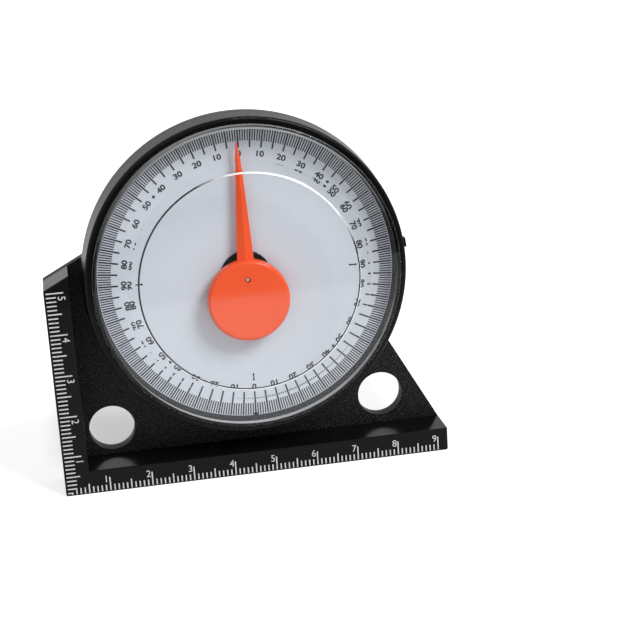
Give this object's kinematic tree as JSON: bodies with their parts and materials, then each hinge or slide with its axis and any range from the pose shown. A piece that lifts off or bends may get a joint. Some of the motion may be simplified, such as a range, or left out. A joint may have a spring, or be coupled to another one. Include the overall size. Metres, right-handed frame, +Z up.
{
  "type": "inclinometer",
  "caption": "Dial inclinometer with a plumb-weighted pointer, an L-shaped edge rule, a magnetic foot and through holes.",
  "frame": {"origin": "centre of the part's footprint, on the surface it stands on", "axes": "+X along the foot rule towards larger numbers, -Y out of the dial, +Z up the side rule"},
  "size_m": [0.093, 0.0188, 0.087],
  "materials": {
    "housing_black": "leather grain with glossy rules and rim",
    "cover_black": "fine leather grain",
    "clear_lens": "clear polished acrylic",
    "dial_white": "satin printed card",
    "hub_black": "satin black",
    "pin_steel": "turned steel",
    "washer_brass": "stamped brass",
    "magnet_brown": "flexible ferrite strip, matt",
    "backing_steel": "rolled steel",
    "screw_steel": "zinc plated",
    "pointer_orange": "glossy orange",
    "bush_brass": "turned brass",
    "weight_steel": "dull steel slug"
  },
  "bodies": {
    "housing": {"front_housing": "housing_black", "rear_cover": "cover_black", "lens": "clear_lens", "dial_plate": "dial_white", "pivot_hub": "hub_black", "pivot_pin": "pin_steel", "thrust_washer": "washer_brass", "magnet_strip": "magnet_brown", "magnet_backing": "backing_steel", "cover_screws": "screw_steel"},
    "pointer": {"pointer": "pointer_orange", "pointer_bush": "bush_brass", "counterweight": "weight_steel"}
  },
  "joints": [
    {"name": "pointer_swing", "type": "hinge", "parent": "housing", "child": "pointer", "pos_m": [0, -0.0035, 0.04905], "axis": [0, 1, 0], "continuous": true}
  ]
}
